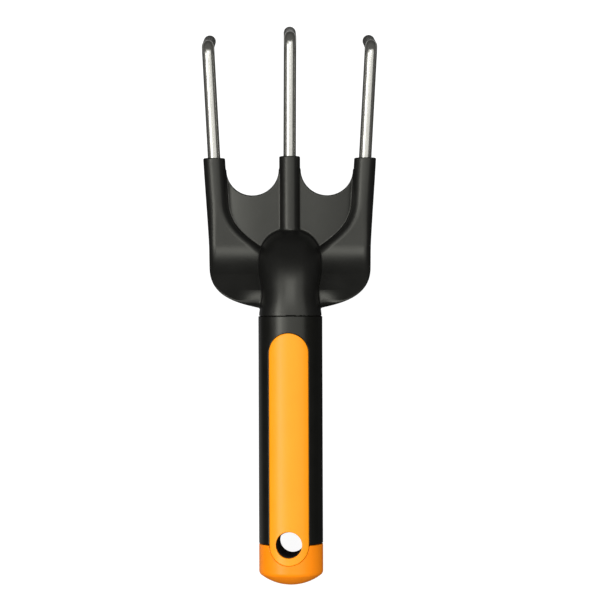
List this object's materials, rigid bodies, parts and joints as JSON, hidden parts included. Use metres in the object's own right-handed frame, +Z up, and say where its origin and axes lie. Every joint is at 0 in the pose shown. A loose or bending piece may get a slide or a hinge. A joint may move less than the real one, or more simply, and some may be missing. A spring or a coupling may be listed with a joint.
{
  "type": "hand cultivator",
  "caption": "Hand cultivator: bent steel tines held in a moulded black head, round soft-grip handle with an orange panel, end cap and hanging hole.",
  "frame": {"origin": "centre of the tool's footprint, on the surface that it stands on", "axes": "+Z up, +Y along the tool from the butt towards the tines, +X to the right of someone who looks along +Y; the handle rises about ten degrees towards the head, as the tool stands on its outer tine tips and its butt"},
  "size_m": [0.0902, 0.2926, 0.0543],
  "materials": {
    "head_plastic": "satin black moulded plastic",
    "tine_steel": "drawn bright steel rod",
    "core_plastic": "black moulded plastic",
    "grip_rubber": "soft matte black grip",
    "orange_plastic": "smooth orange plastic"
  },
  "bodies": {
    "root": {"head": "head_plastic", "tine_left": "tine_steel", "tine_middle": "tine_steel", "tine_right": "tine_steel", "handle_core": "core_plastic", "soft_grip": "grip_rubber", "front_panel": "orange_plastic", "end_cap": "orange_plastic"}
  },
  "joints": []
}
